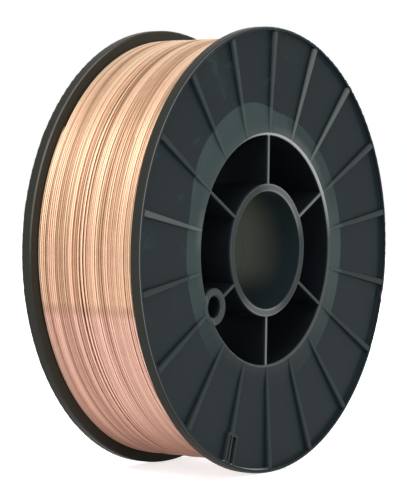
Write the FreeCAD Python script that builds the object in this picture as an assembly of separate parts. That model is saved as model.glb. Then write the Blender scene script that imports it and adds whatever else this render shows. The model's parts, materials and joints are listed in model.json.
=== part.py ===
import FreeCAD, Part
import math
import os

# A spool of welding wire: two moulded plastic halves pushed together and a winding of
# copper-coated wire between their flanges. Millimetres, +Z up. The spool stands on its
# rims with its axis along Y, and the origin is the middle of the hub's bore.

# Whole spool
flange_diameter = 200.0
spool_width = 63.2

# Flange
rim_thickness = 5.0        # along the axis, at the rim
lip_width = 1.7            # flat edge round the outside of the flange
lip_height = 2.0           # step from the lip down to the flange's face
rim_corner = 0.9           # rounding of the rim's two outer edges
face_step = 0.4            # rounding of the small edges on the face
dish_offset = 7.0          # the face lies deepest this far outside the barrel
dish_depth = 3.2           # depth of the face there, below the lip
hub_recess = 2.9           # depth of the hub's end below the lip

# Barrel that carries the wire
barrel_diameter = 110.0
barrel_wall = 3.3
barrel_root = 1.0          # rounding between the barrel and the flange
mouth_rounding = 1.0       # rounding of the barrel's open edge

# Hub
bore_diameter = 53.0
hub_wall = 3.4
bore_edge = 0.6            # rounding at each end of the bore
hub_edge = 0.4             # rounding of the hub's outer edge

# Spokes between hub and barrel
spoke_count = 6
spoke_first_angle = 30.0
spoke_thickness = 1.6
spoke_edge = 0.4           # rounding of a spoke's outer edges
spoke_below_hub = 0.4      # a spoke's edge lies this far below the hub's end

# Ribs on the flange's face
rib_count = 18
rib_first_angle = 10.0
rib_width_inner = 1.4
rib_width_outer = 2.8
rib_edge = 0.45            # rounding of a rib's top edges
rib_rise = 0.25            # a rib's inner end stands this far above the barrel's mouth
rib_root = 0.5             # a rib's foot lies this far above the flange's winding side

# Drive hole, for the pin of the wire feeder's brake
drive_angle = 210.0
drive_pitch_radius = 48.0
drive_hole_diameter = 9.6
drive_boss_wall = 3.4
drive_boss_rise = 0.4      # the boss stands this far above the hub's end
drive_boss_edge = 0.7

# Clip for the wire's end, built round one rib
clip_angle = 250.0
clip_length = 15.0         # along the radius, from the flange's edge inwards
clip_width = 7.4
clip_wall = 1.2
clip_slot = 1.1            # gap that grips the wire
clip_offset = 0.9          # the clip sits this far to one side of its rib

# Wire-end hole and thumb notch in the rim
notch_angle = 346.5
notch_width = 6.0
notch_depth = 0.7
wire_hole_length = 3.2
wire_hole_width = 1.7

# Joint between the two halves
joint_length = 3.0
joint_clearance = 0.1      # on the radius, and at the bottom of the socket

# Winding
wire_diameter = 1.0
winding_margin = 4.5       # the rim stands this far above the outermost turn
winding_gap = 0.05         # between the winding and the plastic
winding_groove = 0.2       # depth of the hollow between two turns in the end faces

# Allowances for building the shapes
cut_margin = 1.0           # a cutting shape passes this far beyond what it cuts
near = 0.01                # two places closer than this are one
seam_angle = 15.0          # a turned surface starts and ends here, clear of ribs and spokes

# Sizes worked out from those above
flange_radius = flange_diameter / 2
half_width = spool_width / 2
winding_face = half_width - rim_thickness
hub_end = half_width - hub_recess
web_at_rim = half_width - lip_height
web_at_dish = half_width - dish_depth
barrel_outer = barrel_diameter / 2
barrel_inner = barrel_outer - barrel_wall
dish_radius = barrel_outer + dish_offset
bore_radius = bore_diameter / 2
hub_outer = bore_radius + hub_wall
lip_inner = flange_radius - lip_width
clip_inner_radius = flange_radius - clip_length
winding_radius = flange_radius - winding_margin
spoke_end = hub_end - spoke_below_hub


def vec(x, y, z):
    return FreeCAD.Vector(x, y, z)


def rounded_outline(corners):
    """A closed wire in the XZ plane through corners given as (radius, height, rounding)."""
    count = len(corners)
    points = [vec(r, 0, z) for r, z, rounding in corners]
    bends = []
    for i, (r, z, rounding) in enumerate(corners):
        back = (points[i - 1] - points[i]).normalize()
        ahead = (points[(i + 1) % count] - points[i]).normalize()
        half_angle = back.getAngle(ahead) / 2
        reach = rounding / math.tan(half_angle)
        inset = rounding / math.sin(half_angle) - rounding
        crest = points[i] + (back + ahead).normalize() * inset
        bends.append((points[i] + back * reach, crest, points[i] + ahead * reach))
    edges = []
    for i, (start, crest, end) in enumerate(bends):
        if corners[i][2] > 0:
            edges.append(Part.Arc(start, crest, end).toShape())
        edges.append(Part.makeLine(end, bends[(i + 1) % count][0]))
    return Part.Wire(edges)


def at_angle(shape, angle):
    """The shape, made along +X, turned about the Z axis to its place."""
    return shape.rotated(vec(0, 0, 0), vec(0, 0, 1), angle)


def turned(corners):
    """A ring whose section is the outline through the corners, about the Z axis."""
    section = at_angle(Part.Face(rounded_outline(corners)), seam_angle)
    return section.revolve(vec(0, 0, 0), vec(0, 0, 1), 360)


def tube(inner, outer, low, high):
    return turned([(inner, low, 0), (outer, low, 0), (outer, high, 0), (inner, high, 0)])


def rib_top(radius):
    """Height of a rib's top edge: level with the lip at the rim and falling to the hub."""
    share = (radius - barrel_inner) / (flange_radius - lip_width / 2 - barrel_inner)
    start = hub_end + rib_rise
    return start + (half_width - start) * min(share, 1)


def face_height(radius):
    """Height of the flange's dished face outside its lowest circle."""
    share = (radius - dish_radius) / (lip_inner - dish_radius)
    return web_at_dish + (web_at_rim - web_at_dish) * share


def bar_section(radius, middle, width, low, high, rounding):
    """A section across a radial bar, with its two top edges rounded."""
    left = middle - width / 2
    right = middle + width / 2
    cut = rounding * (1 - math.sqrt(0.5))
    points = [
        vec(radius, left, high - rounding),
        vec(radius, left + cut, high - cut),
        vec(radius, left + rounding, high),
        vec(radius, right - rounding, high),
        vec(radius, right - cut, high - cut),
        vec(radius, right, high - rounding),
        vec(radius, right, low),
        vec(radius, left, low),
    ]
    edges = [Part.Arc(points[0], points[1], points[2]).toShape()]
    edges.append(Part.makeLine(points[2], points[3]))
    edges.append(Part.Arc(points[3], points[4], points[5]).toShape())
    edges.append(Part.makeLine(points[5], points[6]))
    edges.append(Part.makeLine(points[6], points[7]))
    edges.append(Part.makeLine(points[7], points[0]))
    return Part.Wire(edges)


def radial_bar(start, end, start_width, end_width, middle=0.0):
    """A bar along +X that stands on the flange's face, rooted in its thickness."""
    root = winding_face + rib_root
    sections = [
        bar_section(start, middle, start_width, root, rib_top(start), rib_edge),
        bar_section(end, middle, end_width, root, rib_top(end), rib_edge),
    ]
    return Part.makeLoft(sections, True, True)


def flange_and_barrel():
    return turned([
        (barrel_inner, 0, 0),
        (barrel_outer, 0, 0),
        (barrel_outer, winding_face, barrel_root),
        (flange_radius, winding_face, rim_corner),
        (flange_radius, half_width, rim_corner),
        (lip_inner, half_width, face_step),
        (lip_inner, web_at_rim, face_step),
        (dish_radius, web_at_dish, 0),
        (barrel_outer, hub_end, 0),
        (barrel_inner, hub_end, mouth_rounding),
    ])


def hub():
    return turned([
        (bore_radius, 0, 0),
        (hub_outer, 0, 0),
        (hub_outer, hub_end, hub_edge),
        (bore_radius, hub_end, bore_edge),
    ])


def spoke():
    """A web from the hub to the barrel, as deep as the half, along +X."""
    start = hub_outer - hub_wall / 2
    end = barrel_inner + barrel_wall / 2
    web = Part.makeBox(end - start, spoke_thickness, spoke_end, vec(start, -spoke_thickness / 2, 0))
    top_edges = [e for e in web.Edges if e.BoundBox.ZMin > spoke_end - near]
    long_edges = [e for e in top_edges if e.BoundBox.XLength > near]
    return web.makeFillet(spoke_edge, long_edges)


def ribs():
    """The radial ribs; the one that carries the clip ends at the clip."""
    made = []
    step = 360.0 / rib_count
    start = barrel_inner + mouth_rounding
    end = flange_radius - lip_width / 2
    growth = (rib_width_outer - rib_width_inner) / (end - start)
    for i in range(rib_count):
        angle = rib_first_angle + i * step
        rib_end = end
        if abs(angle - clip_angle) < step / 2:
            rib_end = clip_inner_radius + clip_wall / 2
        end_width = rib_width_inner + growth * (rib_end - start)
        made.append(at_angle(radial_bar(start, rib_end, rib_width_inner, end_width), angle))
    return made


def clip():
    """A small box on the face with a narrow slot that grips the wire's end."""
    end = flange_radius - lip_width / 2
    box = radial_bar(clip_inner_radius, end, clip_width, clip_width, clip_offset)
    edge = clip_offset - clip_width / 2
    slot_middle = edge + clip_wall + clip_slot / 2
    pocket_width = clip_width - 3 * clip_wall - clip_slot
    pocket_middle = edge + 2 * clip_wall + clip_slot + pocket_width / 2
    start = clip_inner_radius + clip_wall
    for middle, width in ((slot_middle, clip_slot), (pocket_middle, pocket_width)):
        sections = []
        for radius in (start, lip_inner):
            low = face_height(radius)
            sections.append(Part.makePolygon([
                vec(radius, middle - width / 2, low),
                vec(radius, middle + width / 2, low),
                vec(radius, middle + width / 2, half_width + lip_height),
                vec(radius, middle - width / 2, half_width + lip_height),
                vec(radius, middle - width / 2, low),
            ]))
        box = box.cut(Part.makeLoft(sections, True, True))
    return at_angle(box, clip_angle)


def drive_boss():
    """The tube round the drive hole, on the outer end of one spoke and as deep as the half."""
    radius = drive_hole_diameter / 2 + drive_boss_wall
    top = hub_end + drive_boss_rise
    boss = turned([
        (0, 0, 0),
        (radius, 0, 0),
        (radius, top, drive_boss_edge),
        (0, top, 0),
    ])
    boss.translate(vec(drive_pitch_radius, 0, 0))
    inside_barrel = Part.makeCylinder(barrel_inner + barrel_wall / 2, spool_width)
    over_face = Part.makeCylinder(flange_radius, spool_width, vec(0, 0, winding_face))
    return at_angle(boss.common(inside_barrel.fuse(over_face)), drive_angle)


def drive_hole():
    """The hole, right through the half and its joint, with its bevelled mouth."""
    radius = drive_hole_diameter / 2
    top = hub_end + drive_boss_rise
    hole = Part.makeCylinder(radius, spool_width, vec(0, 0, -half_width))
    mouth = Part.makeCone(radius, radius + drive_boss_edge, drive_boss_edge,
                          vec(0, 0, top - drive_boss_edge))
    hole = hole.fuse(mouth)
    hole.translate(vec(drive_pitch_radius, 0, 0))
    return at_angle(hole, drive_angle)


def thumb_notch():
    """A shallow round scoop across the lip."""
    scoop_radius = ((notch_width / 2) ** 2 + notch_depth ** 2) / (2 * notch_depth)
    height = half_width - notch_depth + scoop_radius
    scoop = Part.makeCylinder(scoop_radius, lip_width * 4,
                              vec(lip_inner - lip_width, 0, height), vec(1, 0, 0))
    return at_angle(scoop, notch_angle)


def wire_hole():
    """An oblong hole through the flange, just inside the lip."""
    radius = wire_hole_width / 2
    middle = lip_inner - face_step - radius
    straight = wire_hole_length - wire_hole_width
    hole = Part.makeBox(wire_hole_width, straight, spool_width,
                        vec(middle - radius, -straight / 2, 0))
    for side in (-1, 1):
        hole = hole.fuse(Part.makeCylinder(radius, spool_width,
                                           vec(middle, side * straight / 2, 0)))
    return at_angle(hole, notch_angle)


def spool_half(plugs, sockets):
    """One moulding, with its flange facing +Z and its open end at height 0."""
    pieces = [hub(), clip(), drive_boss()] + ribs() + plugs
    for i in range(spoke_count):
        pieces.append(at_angle(spoke(), spoke_first_angle + i * 360.0 / spoke_count))
    half = flange_and_barrel().fuse(pieces)
    half = half.cut([drive_hole(), thumb_notch(), wire_hole()] + sockets)
    return half.removeSplitter().rotated(vec(0, 0, 0), vec(1, 0, 0), 90)


def joint_rings(inner_gap, outer_gap, low, high):
    """Rings on the inner half of the hub's and the barrel's walls."""
    rings = []
    for inner, wall in ((bore_radius, hub_wall), (barrel_inner, barrel_wall)):
        rings.append(tube(inner - inner_gap, inner + wall / 2 + outer_gap, low, high))
    return rings


def front_half():
    """The half that plugs into the other."""
    plugs = joint_rings(0, -joint_clearance / 2, -joint_length, 0)
    return spool_half(plugs, [])


def back_half():
    """The half with the sockets, turned over about the line through both drive holes."""
    gap = joint_clearance
    sockets = joint_rings(gap, gap / 2, 0, joint_length + gap)
    drive_direction = at_angle(Part.Vertex(1, 0, 0), drive_angle).Point
    line = vec(drive_direction.x, 0, drive_direction.y)
    return spool_half([], sockets).rotated(vec(0, 0, 0), line, 180)


def wire_coil():
    """The winding as one turned solid; each layer's last turn shows on its ends."""
    inner = barrel_outer + winding_gap
    end = winding_face - winding_gap
    layers = round((winding_radius - inner) / wire_diameter)
    pitch = (winding_radius - inner) / layers
    valley = end - winding_groove
    root = inner + barrel_root
    top_arcs = []
    bottom_arcs = []
    for i in range(layers):
        start = inner + i * pitch
        middle = start + pitch / 2
        top_arcs.append(Part.Arc(vec(start, 0, valley), vec(middle, 0, end),
                                 vec(start + pitch, 0, valley)).toShape())
        bottom_arcs.append(Part.Arc(vec(start, 0, -valley), vec(middle, 0, -end),
                                    vec(start + pitch, 0, -valley)).toShape())
    sides = [Part.makeLine(vec(r, 0, -valley), vec(r, 0, valley)) for r in (inner, winding_radius)]
    outline = Part.Wire(Part.__sortEdges__(top_arcs + bottom_arcs + sides))
    coil = Part.Face(outline).revolve(vec(0, 0, 0), vec(0, 0, 1), 360)
    corner = end - barrel_root
    for low, high in ((corner, end + cut_margin), (-end - cut_margin, -corner)):
        coil = coil.cut(tube(inner - cut_margin, root, low, high))
    return coil.rotated(vec(0, 0, 0), vec(1, 0, 0), 90)


def main():
    os.makedirs("parts", exist_ok=True)
    pieces = {
        "front_half": front_half(),
        "back_half": back_half(),
        "wire_coil": wire_coil(),
    }
    for name, shape in pieces.items():
        solid = shape.Solids[0]
        solid.exportStep("parts/" + name + ".step")
        box = solid.BoundBox
        print(name, "solids", len(shape.Solids), "valid", solid.isValid(),
              "volume", round(solid.Volume), "size",
              [round(v, 2) for v in (box.XLength, box.YLength, box.ZLength)])


main()
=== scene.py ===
import json
import math
import random

import bmesh
import bpy
from mathutils import Matrix, Vector, noise


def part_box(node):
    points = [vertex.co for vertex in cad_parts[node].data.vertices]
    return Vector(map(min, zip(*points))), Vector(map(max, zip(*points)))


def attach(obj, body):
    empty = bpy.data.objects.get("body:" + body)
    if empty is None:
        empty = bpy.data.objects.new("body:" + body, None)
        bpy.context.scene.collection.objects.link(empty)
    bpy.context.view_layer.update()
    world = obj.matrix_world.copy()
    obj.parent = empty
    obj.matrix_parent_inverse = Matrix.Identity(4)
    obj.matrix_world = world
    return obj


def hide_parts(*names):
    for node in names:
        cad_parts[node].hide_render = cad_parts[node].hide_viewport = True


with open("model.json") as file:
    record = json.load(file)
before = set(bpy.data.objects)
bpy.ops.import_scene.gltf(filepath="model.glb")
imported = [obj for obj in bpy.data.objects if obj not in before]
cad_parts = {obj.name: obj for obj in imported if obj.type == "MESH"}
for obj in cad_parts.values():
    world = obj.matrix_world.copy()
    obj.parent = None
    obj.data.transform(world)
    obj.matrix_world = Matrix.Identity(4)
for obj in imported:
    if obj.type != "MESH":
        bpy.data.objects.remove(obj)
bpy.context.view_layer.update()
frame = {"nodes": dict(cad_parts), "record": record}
print("frame loaded", sorted(frame["nodes"]))

front = frame["nodes"]["front_half"]
back = frame["nodes"]["back_half"]
flangeRadius = (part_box("back_half")[1].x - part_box("back_half")[0].x) / 2
coilLow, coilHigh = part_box("wire_coil")
coilRadius = (coilHigh.x - coilLow.x) / 2
coilEnd = coilHigh.y
mounts = {mount["name"]: mount for mount in frame["record"]["mounts"]}
boreRadius = mounts["hub_bore"]["dims"]["r_mm"] / 1000


# One socket of a material's nodes. Sums on it add Math nodes.
class Shade:
    def __init__(self, tree, socket=None):
        self.tree = tree
        self.socket = socket

    def node(self, kind, settings=None, output=0, **inputs):
        made = self.tree.nodes.new(kind)
        for name, value in (settings or {}).items():
            setattr(made, name, value)
        for name, value in inputs.items():
            # i0, i1 and so on go by number, the rest by their names
            numbered = name[0] == "i" and name[1:].isdigit()
            key = int(name[1:]) if numbered else name.replace("_", " ")
            if isinstance(value, Shade):
                self.tree.links.new(value.socket, made.inputs[key])
            else:
                made.inputs[key].default_value = value
        return Shade(self.tree, made.outputs[output])

    def sum(self, operation, first, second=0.0, clamp=False):
        settings = {"operation": operation, "use_clamp": clamp}
        return self.node("ShaderNodeMath", settings, i0=first, i1=second)

    def __add__(self, other):
        return self.sum("ADD", self, other)

    def __radd__(self, other):
        return self.sum("ADD", other, self)

    def __sub__(self, other):
        return self.sum("SUBTRACT", self, other)

    def __rsub__(self, other):
        return self.sum("SUBTRACT", other, self)

    def __mul__(self, other):
        return self.sum("MULTIPLY", self, other)

    def __truediv__(self, other):
        return self.sum("DIVIDE", self, other)

    def __pow__(self, other):
        return self.sum("POWER", self, other)

    def axes(self):
        # the x, y and z of this place
        parts = self.node("ShaderNodeSeparateXYZ", Vector=self).socket.node.outputs
        return [Shade(self.tree, part) for part in parts]

    def between(self, low, high):
        # 0 below low, 1 above high, smooth between
        return self.node("ShaderNodeMapRange", {"interpolation_type": "SMOOTHSTEP"},
                         Value=self, From_Min=low, From_Max=high)

    def blend(self, first, second):
        # first where this is 0 and second where it is 1
        return self.node("ShaderNodeMix", {"data_type": "RGBA"}, output=2,
                         i0=self, i6=first, i7=second)


def newMaterial(name):
    material = bpy.data.materials.new(name)
    material.use_nodes = True
    tree = material.node_tree
    tree.nodes.clear()
    return material, Shade(tree)


def finishMaterial(shade, surface):
    output = shade.tree.nodes.new("ShaderNodeOutputMaterial")
    shade.tree.links.new(surface.socket, output.inputs["Surface"])


def newPiece(name, mesh, material, smooth=True):
    data = bpy.data.meshes.new(name)
    mesh.to_mesh(data)
    mesh.free()
    piece = bpy.data.objects.new(name, data)
    bpy.context.scene.collection.objects.link(piece)
    data.materials.append(material)
    data.polygons.foreach_set("use_smooth", [smooth] * len(data.polygons))
    return piece


objectPlace = 3     # the output of Texture Coordinate that gives the object's own metres


# Black plastic of the two mouldings: colours, and radii and heights in metres
plastic = {
    "colour": (0.011, 0.018, 0.021),
    # painted sheen of the band round the mouth, also the tint of the haze and scuffs
    "sheenAndHazeColour": (0.036, 0.056, 0.056),
    # painted shade inside the barrel and the bore
    "insideShadeColour": (0.006, 0.008, 0.010),
    # painted reflection of the copper on the flanges' inner faces and the rims' sides
    "copperReflectionColour": (0.034, 0.032, 0.025),
    # painted patch of light on the bore's wall
    "boreLightColour": (0.098, 0.108, 0.084),
    # painted highlights on tops and corners
    "edgeHighlightColour": (0.070, 0.078, 0.078),
    "glintColour": (0.50, 0.52, 0.50),
    "mouthRadius": 0.0517,
    "bandEnd": 0.0625,
    "bandBulge": 0.0060,
    "dishHeight": 0.0284,
    "dishRadius": 0.062,
    "dishSlope": 0.0331,
    "lipRadius": 0.0983,
    "lipHeight": 0.0316,
    "innerFace": 0.0267,
    "hubTop": 0.0280,
    "hubWall": 0.0034,
    "roughness": 0.38,
    "grainSize": 900.0,
    "grainDepth": 0.00004,
    "soft": 0.0003,         # over which one finish passes into the next
    "specular": 0.08,
}


# Stretches painted paler or darker, in degrees round the axis: the middle, and the reach to each
# side.
# All but haze are painted light, and stay where they are in every view; haze places pale scuffs.
stretches = {
    "bandBulge": (124, 42),
    "bandFade": (50, 45),
    "haze": (125, 95),
    "ribs": (70, 75),
    "ribsRight": (62, 30),
    "ribsLeft": (170, 12),
    "mouth": (62, 60),
    "hubRight": (60, 50),
    "hubBottom": (262, 40),
    "rimCorner": (165, 60),
    "innerCorner": (146, 42),
    "step": (258, 14),
}


def plasticMaterial():
    material, s = newMaterial("blackPlastic")
    where = s.node("ShaderNodeTexCoord", output=objectPlace)
    x, y, z = where.axes()
    radius = (x * x + z * z) ** 0.5
    height = s.sum("ABSOLUTE", y)
    cloud = s.node("ShaderNodeTexNoise", Vector=where, Scale=34.0, Detail=5.0, Roughness=0.6)
    grain = s.node("ShaderNodeTexNoise", Vector=where, Scale=plastic["grainSize"], Detail=2.0)
    soft = plastic["soft"]

    def ring(low, high):
        return radius.between(low, low + soft) * (1 - radius.between(high - soft, high))

    def above(level):
        return height.between(level, level + soft)

    def arc(stretch):
        # 1 at the stretch's middle, down to 0 at its reach to each side
        middle, reach = stretches[stretch]
        turn = math.radians(middle)
        along = (x * math.cos(turn) + z * math.sin(turn)) / radius
        return along.between(math.cos(math.radians(reach)), 1.0)

    mouth = plastic["mouthRadius"]
    lip = plastic["lipRadius"]
    face = plastic["dishHeight"] + (radius - plastic["dishRadius"]) * plastic["dishSlope"]

    # the greyer band round the barrel's mouth, a painted sheen that fades towards the bottom, and
    # haze on the face, pale scuffs
    bandEnd = plastic["bandEnd"] + arc("bandBulge") * plastic["bandBulge"]
    sheenAndHaze = ring(mouth, bandEnd) * (z / radius).between(-1.0, -0.1)
    sheenAndHaze = sheenAndHaze * (1 - arc("bandFade") * 0.45)
    haze = s.node("ShaderNodeTexNoise", Vector=where, Scale=48.0, Detail=6.0, Roughness=0.65,
                  Distortion=1.2)
    sheenAndHaze = sheenAndHaze * (0.7 + haze * 0.6) + haze.between(0.54, 0.72) * arc("haze") * 0.55

    # painted shade inside the barrel and the bore, a painted patch of light on the bore's wall, and a
    # painted reflection of the copper on the flanges' inner faces and the sides of the rims
    insideShade = ring(boreRadius + soft, mouth + 2 * soft) * (1 - above(plastic["hubTop"] - 0.001))
    boreLight = 1 - radius.between(boreRadius + soft, boreRadius + 2 * soft)
    boreLight = boreLight * y.between(-0.022, 0.002) * z.between(-0.024, -0.006)
    boreLight = boreLight * (1 - above(plastic["innerFace"]))
    innerFace = 1 - above(plastic["innerFace"] + soft)
    rimSide = ring(lip + 0.0012, 1.0)
    copperReflection = s.sum("MAXIMUM", innerFace * radius.between(mouth + 0.003, mouth + 0.005),
                 rimSide * 0.75)

    # tops and corners, painted paler as painted highlights
    ribTops = (height - face).between(0.0003, 0.0008) * ring(mouth + 0.001, lip - 0.0004)
    hubRing = ring(boreRadius + 0.0006, boreRadius + plastic["hubWall"] - 0.0006)
    hubTops = above(plastic["hubTop"]) * (1 - radius.between(mouth - soft, mouth))
    hubTops = hubTops * (1 - hubRing * 0.45)
    mouthEdge = ring(mouth - soft, mouth + 0.0012) * above(plastic["hubTop"] - soft)
    corner = ring(lip + 0.0009, lip + 0.0015) * above(plastic["lipHeight"] - 0.0006)
    innerCorner = ring(lip + 0.0008, lip + 0.0017) * (1 - above(plastic["innerFace"] + 0.0004))
    step = ring(lip - 0.0006, lip + 0.0003) * (1 - above(plastic["lipHeight"] - 0.0004))
    step = step * above(plastic["lipHeight"] - 0.0021) * arc("step")
    edges = ribTops * (0.24 + arc("ribs") * 0.36) + hubTops * 0.6 + mouthEdge + corner

    # and paler still on some stretches
    glints = mouthEdge * arc("mouth") * 0.8 + step + corner * arc("rimCorner") * 0.2
    glints = glints + hubTops * (arc("hubRight") * 0.3 + arc("hubBottom") * 0.25)
    glints = glints + ribTops * (arc("ribsRight") * 0.12 + arc("ribsLeft") * 0.12)
    glints = glints + innerCorner * arc("innerCorner") * 0.4 * cloud

    colour = ((cloud - 0.5) * 0.4 + sheenAndHaze).blend((*plastic["colour"], 1),
                                                (*plastic["sheenAndHazeColour"], 1))
    layers = ((insideShade, "insideShadeColour"), (boreLight, "boreLightColour"), (copperReflection, "copperReflectionColour"),
              (edges, "edgeHighlightColour"), (glints, "glintColour"))
    for share, name in layers:
        colour = s.sum("MINIMUM", share, 1.0).blend(colour, (*plastic[name], 1))
    roughness = plastic["roughness"] + (cloud - 0.5) * 0.16 + (grain - 0.5) * 0.1
    bump = s.node("ShaderNodeBump", Strength=0.5, Distance=plastic["grainDepth"], Height=grain)
    surface = s.node("ShaderNodeBsdfPrincipled", Base_Color=colour, Roughness=roughness, Normal=bump,
                     Specular_IOR_Level=plastic["specular"])
    finishMaterial(s, surface)
    return material


# Copper-coated wire: metres, and degrees for where a turn starts
wire = {
    "diameter": 0.001,
    "sides": 7,
    "steps": 240,
    "gapTotal": 0.0026,     # free width shared out between the turns
    "unevenness": 8,        # the higher, the fewer turns that get most of it
    "mainGap": 0.0006,
    "mainGapAt": 0.0027,
    "startAngle": 146.0,
    "rise": 0.00036,
    "wander": 0.0007,
    "wanderRound": 1.3,     # how fast the wander changes round the axis and across it
    "wanderAcross": 120,
    "liftRate": 2.3,        # and how fast the lift, the tones and the hue change, per turn
    "groupRate": 0.42,
    "singleRate": 1.9,
    "hueRate": 0.7,
    "endGap": 0.0001,       # between the winding's end and its outermost turn or layer
    "lowerDrop": 0.86,      # from one layer of turns to the next, in diameters
    "lowerFrom": -0.029,    # the winding's painted reflection changes between these heights: pinker below, mirroring the floor
    "upperFrom": -0.021,
    "bottomShadeFrom": -0.090,     # and it is duller still below these: painted shade towards the bottom
    "bottomShadeTo": -0.062,
}


def wireMaterial():
    material, s = newMaterial("copperCoat")
    where = s.node("ShaderNodeTexCoord", output=objectPlace)
    tone = s.node("ShaderNodeAttribute", {"attribute_name": "tone"}, output=2)
    hue = s.node("ShaderNodeAttribute", {"attribute_name": "hue"}, output=2)
    blotch = s.node("ShaderNodeTexNoise", Vector=where, Scale=260.0, Detail=3.0)
    height = where.axes()[2]
    # painted reflection: pinker below, where the winding mirrors the floor, and peach above
    upperReflection = height.between(wire["lowerFrom"], wire["upperFrom"])
    pink = hue.blend((0.86, 0.535, 0.430, 1), (0.90, 0.62, 0.495, 1))
    peach = hue.blend((0.90, 0.55, 0.39, 1), (0.90, 0.66, 0.46, 1))
    bright = upperReflection.blend(pink, peach)
    dull = upperReflection.blend((0.50, 0.27, 0.20, 1), (0.46, 0.27, 0.16, 1))
    shade = (tone + (blotch - 0.5) * 0.25).between(0.0, 1.0)
    # a painted duller line, the reflected edge of the floor, runs across the winding where its
    # painted reflection changes
    floorEdgeReflection = upperReflection * (1 - upperReflection) * 4
    bottomShade = 1 - height.between(wire["bottomShadeFrom"], wire["bottomShadeTo"])
    colour = (shade * (1 - floorEdgeReflection * 0.45) * (1 - bottomShade * 0.55)).blend(dull, bright)
    roughness = 0.50 - tone * 0.08 + (blotch - 0.5) * 0.12
    surface = s.node("ShaderNodeBsdfPrincipled", Base_Color=colour, Roughness=roughness, Metallic=1.0)
    finishMaterial(s, surface)
    return material


def oneTurn(radius):
    # a small ring spun once round the axis, left open where it starts
    mesh = bmesh.new()
    ring = bmesh.ops.create_circle(mesh, segments=wire["sides"], radius=wire["diameter"] / 2)["verts"]
    bmesh.ops.translate(mesh, verts=ring, vec=(radius, 0, 0))
    bmesh.ops.spin(mesh, geom=ring + list(mesh.edges), cent=(0, 0, 0), axis=(0, -1, 0),
                   angle=2 * math.pi, steps=wire["steps"])
    share = mesh.verts.layers.float.new("turn")
    for k, v in enumerate(mesh.verts):
        v[share] = k // wire["sides"] / wire["steps"]
    data = bpy.data.meshes.new("oneTurn")
    mesh.to_mesh(data)
    mesh.free()
    return data


def windTurns(name, radius, starts, startAngle, seed, material):
    # turns joined end to end into one helix, each with its own pitch
    turnData = oneTurn(radius)
    mesh = bmesh.new()
    for i in range(len(starts) - 1):
        mesh.from_mesh(turnData)
    turnLayer = mesh.verts.layers.float["turn"]
    tone = mesh.verts.layers.float.new("tone")
    hue = mesh.verts.layers.float.new("hue")
    perTurn = len(turnData.vertices)
    turnBack = Matrix.Rotation(math.radians(-startAngle), 3, "Y")
    for k, v in enumerate(mesh.verts):
        i = k // perTurn
        turn = i + v[turnLayer]
        v.co = turnBack @ v.co
        angle = math.atan2(v.co.z, v.co.x)
        across = starts[i] + (starts[i + 1] - starts[i]) * v[turnLayer]
        place = Vector((math.cos(angle) * wire["wanderRound"], math.sin(angle) * wire["wanderRound"],
                        across * wire["wanderAcross"] + seed))
        shift = noise.noise(place) * wire["wander"]
        lift = noise.noise(Vector((turn * wire["liftRate"], seed, 4.0)))
        lift = (lift - 0.6) * wire["rise"]
        v.co += Vector((math.cos(angle) * lift, across + shift, math.sin(angle) * lift))
        group = noise.noise(Vector((turn * wire["groupRate"], seed + math.cos(angle) * 0.5,
                                    9 + math.sin(angle) * 0.5)))
        single = noise.noise(Vector((turn * wire["singleRate"], seed, 19.0)))
        v[tone] = 0.60 + 0.85 * group + 0.7 * single
        # the hue drifts at random; its lean with height, peach above and pink below, is painted
        # reflection
        drift = noise.noise(Vector((turn * wire["hueRate"], seed, 31.0)))
        v[hue] = 0.5 + 1.4 * drift + 0.35 * math.sin(angle)
    bmesh.ops.remove_doubles(mesh, verts=mesh.verts, dist=wire["diameter"] * 0.02)
    bmesh.ops.holes_fill(mesh, edges=[e for e in mesh.edges if e.is_boundary])
    bmesh.ops.recalc_face_normals(mesh, faces=mesh.faces)
    print(name, "turns", len(starts) - 1, "faces", len(mesh.faces))
    return newPiece(name, mesh, material)


def turnStarts(low, high, rng, mainGap):
    # places across the winding, a diameter apart and with the spare width shared out unevenly
    free = wire["gapTotal"]
    span = high - low
    count = int((span - free - mainGap) / wire["diameter"])
    spare = span - mainGap - count * wire["diameter"]
    shares = [rng.random() ** wire["unevenness"] for i in range(count)]
    total = sum(shares)
    places = [high]
    for share in shares:
        step = wire["diameter"] + spare * share / total
        if mainGap and places[-1] > wire["mainGapAt"] >= places[-1] - step:
            step += mainGap
        places.append(places[-1] - step)
    return places


def makeWinding(material):
    rng = random.Random(7)
    half = wire["diameter"] / 2
    edge = coilEnd - half - wire["endGap"]
    outer = windTurns("outerTurns", coilRadius - half, turnStarts(-edge, edge, rng, wire["mainGap"]),
                      wire["startAngle"], 3.0, material)
    lower = windTurns("lowerTurns", coilRadius - half - wire["diameter"] * wire["lowerDrop"],
                      turnStarts(-edge, edge, rng, 0.0), wire["startAngle"] + 180, 57.0, material)
    return outer, lower


# The layers below the turns
core = {
    "innerRadius": 0.0551,
    "depth": 2.3,           # of its outside below the winding's, in wire diameters
    "layers": 36,
    "grooveDepth": 0.0002,
    "innerCorner": 0.0012,
    "sides": 120,
    "tone": 0.5,
    "hue": 0.3,
}


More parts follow.
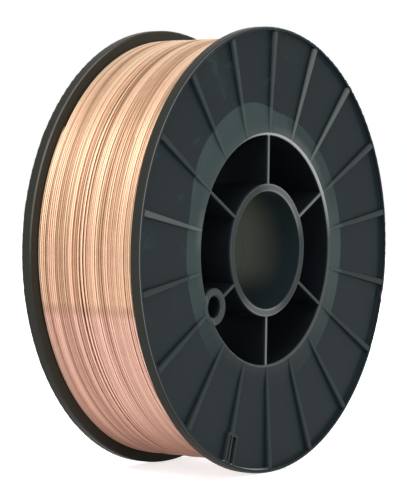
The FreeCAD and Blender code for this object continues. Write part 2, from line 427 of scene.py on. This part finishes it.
def makeCore(material):
    # one turned body with a groove between layers on its ends
    mesh = bmesh.new()
    inner = core["innerRadius"]
    outer = coilRadius - wire["diameter"] * core["depth"]
    count = core["layers"]
    pitch = (outer - inner) / count
    crest = coilEnd - wire["endGap"]
    groove = crest - core["grooveDepth"]
    points = [(inner, -coilEnd + core["innerCorner"])]
    for side in (-1, 1):
        order = range(count) if side < 0 else reversed(range(count))
        for i in order:
            middle = inner + (i + 0.5) * pitch
            rim = [(middle - pitch / 2, side * groove), (middle, side * crest),
                   (middle + pitch / 2, side * groove)]
            points += rim[1:] if side < 0 else [rim[1], rim[0]]
    verts = [mesh.verts.new((r, y, 0)) for r, y in points]
    edges = [mesh.edges.new((verts[i - 1], verts[i])) for i in range(len(verts))]
    bmesh.ops.spin(mesh, geom=verts + edges, cent=(0, 0, 0), axis=(0, 1, 0), angle=2 * math.pi,
                   steps=core["sides"], use_merge=True)
    bmesh.ops.recalc_face_normals(mesh, faces=mesh.faces)
    tone = mesh.verts.layers.float.new("tone")
    hue = mesh.verts.layers.float.new("hue")
    for v in mesh.verts:
        v[tone] = core["tone"]
        v[hue] = core["hue"]
    return newPiece("innerLayers", mesh, material)


plasticLook = plasticMaterial()
for half in (front, back):
    half.data.materials.clear()
    half.data.materials.append(plasticLook)
print("plastic done")

copperLook = wireMaterial()
outerTurns, lowerTurns = makeWinding(copperLook)
innerLayers = makeCore(copperLook)
for piece in (outerTurns, lowerTurns, innerLayers):
    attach(piece, "root")
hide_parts("wire_coil")
print("winding done")


# Floor, light and camera
stage = {
    "floorSize": 6.0,
    "floorColour": (0.8, 0.8, 0.8),
    "floorGlow": 0.75,
    "mirroredGlow": 0.27,
    "worldLevel": 0.75,
}

# Each lamp's place in metres, its size across and its power in watts
lamps = {
    "keyLamp": ((-1.2, -0.5, 1.3), 0.7, 12),
    "frontLamp": ((-0.87, -1.2, 0.45), 0.3, 4),
    "edgeLamp": ((1.35, 0.3, 0.55), 0.5, 14),
}


def whiteRays(s):
    # 1 for the rays that show the background, straight or in a reflection
    path = s.node("ShaderNodeLightPath").socket.node.outputs
    seen = Shade(s.tree, path["Is Camera Ray"]) + Shade(s.tree, path["Is Glossy Ray"])
    return s.sum("ADD", seen, Shade(s.tree, path["Is Transmission Ray"]), clamp=True)


def makeFloor():
    material, s = newMaterial("paleFloor")
    path = s.node("ShaderNodeLightPath").socket.node.outputs
    strength = Shade(s.tree, path["Is Camera Ray"]) * stage["floorGlow"]
    strength = strength + Shade(s.tree, path["Is Glossy Ray"]) * stage["mirroredGlow"]
    glow = s.node("ShaderNodeEmission", Color=(1, 1, 1, 1), Strength=strength)
    pale = s.node("ShaderNodeBsdfDiffuse", Color=(*stage["floorColour"], 1))
    finishMaterial(s, s.node("ShaderNodeAddShader", i0=pale, i1=glow))
    mesh = bmesh.new()
    bmesh.ops.create_grid(mesh, x_segments=2, y_segments=2, size=stage["floorSize"])
    bmesh.ops.translate(mesh, verts=mesh.verts, vec=(0, 0, -flangeRadius))
    newPiece("floor", mesh, material, smooth=False)


def makeWorld():
    world = bpy.data.worlds.new("paleRoom")
    bpy.context.scene.world = world
    world.use_nodes = True
    world.node_tree.nodes.clear()
    s = Shade(world.node_tree)
    level = stage["worldLevel"] + whiteRays(s) * (1 - stage["worldLevel"])
    glow = s.node("ShaderNodeBackground", Color=(1, 1, 1, 1), Strength=level)
    output = world.node_tree.nodes.new("ShaderNodeOutputWorld")
    world.node_tree.links.new(glow.socket, output.inputs["Surface"])


def makeLamp(name, place, size, power):
    data = bpy.data.lights.new(name, "AREA")
    data.shape = "DISK"
    data.size = size
    data.energy = power
    lamp = bpy.data.objects.new(name, data)
    bpy.context.scene.collection.objects.link(lamp)
    lamp.location = place
    lamp.rotation_euler = (-Vector(place)).to_track_quat("-Z", "Y").to_euler()


# The camera: degrees for its turns, and metres
view = {
    "azimuth": -54.67,
    "elevation": 1.68,
    "roll": -0.77,
    "distance": 0.9401,
    "lens": 147.95,
    "aside": 0.00572,
    "above": 0.00079,
}


def makeCamera():
    turn, rise, roll = (math.radians(view[k]) for k in ("azimuth", "elevation", "roll"))
    back = Vector((math.sin(turn) * math.cos(rise), -math.cos(turn) * math.cos(rise), math.sin(rise)))
    right = Vector((math.cos(turn), math.sin(turn), 0))
    up = back.cross(right)
    place = back * view["distance"] - right * view["aside"] - up * view["above"]
    rolledRight = right * math.cos(roll) - up * math.sin(roll)
    rolledUp = right * math.sin(roll) + up * math.cos(roll)
    data = bpy.data.cameras.new("camera")
    data.lens = view["lens"]
    data.clip_start = 0.05
    camera = bpy.data.objects.new("camera", data)
    bpy.context.scene.collection.objects.link(camera)
    axes = Matrix((rolledRight, rolledUp, back)).transposed()
    camera.matrix_world = Matrix.Translation(place) @ axes.to_4x4()
    bpy.context.scene.camera = camera


makeFloor()
makeWorld()
for name, (place, size, power) in lamps.items():
    makeLamp(name, place, size, power)
makeCamera()
scene = bpy.context.scene
scene.view_settings.view_transform = "Standard"
print("stage done")
